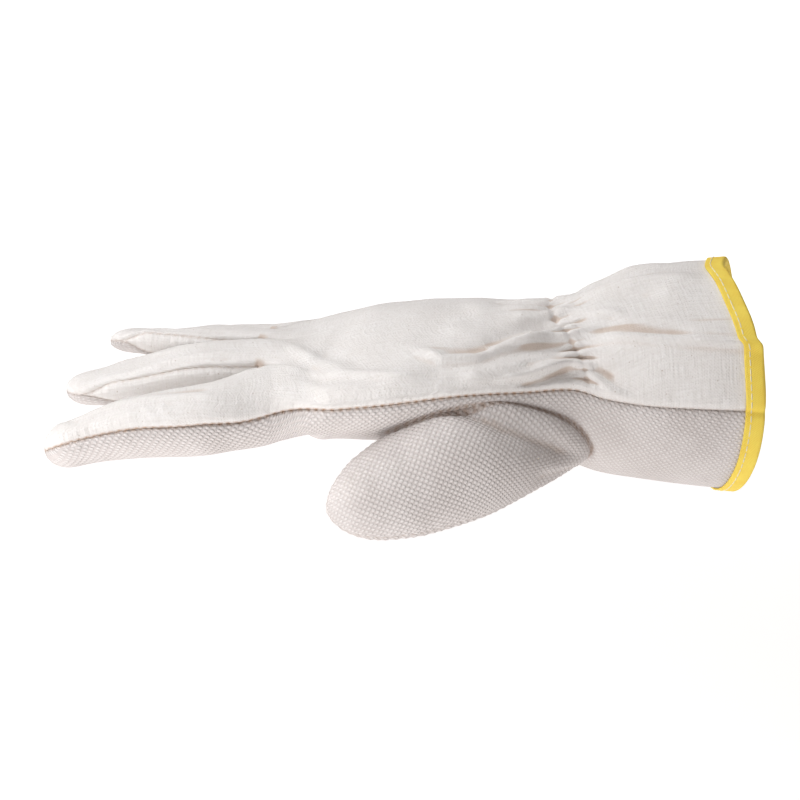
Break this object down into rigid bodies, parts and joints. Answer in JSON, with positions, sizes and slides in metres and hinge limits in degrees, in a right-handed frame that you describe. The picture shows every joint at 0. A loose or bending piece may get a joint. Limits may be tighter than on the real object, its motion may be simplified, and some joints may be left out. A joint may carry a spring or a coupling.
{
  "type": "canvas work glove",
  "caption": "Off-white canvas work glove with a textured palm and thumb, a gathered wrist, and a flared cuff bound in yellow tape, shaped as worn on a right hand.",
  "frame": {"origin": "centre of the wrist, where the elastic gathers the canvas, which is where the glove is held by the hand that wears it", "axes": "+X runs along the forearm and out of the cuff, so the fingers point to -X; +Z comes out of the back of the hand; the thumb is on the -Y side"},
  "size_m": [0.2661, 0.1232, 0.0896],
  "materials": {
    "canvas": "matte plain-weave off-white cotton canvas",
    "bead_cloth": "matte off-white cotton woven in raised beads",
    "binding_tape": "matte yellow woven tape"
  },
  "bodies": {
    "root": {"back_panel": "canvas", "palm_panel": "bead_cloth", "index_middle_side_strip": "canvas", "middle_ring_side_strip": "canvas", "ring_little_side_strip": "canvas", "thumb_outer": "bead_cloth", "thumb_inner": "bead_cloth", "cuff_binding": "binding_tape"}
  },
  "joints": []
}
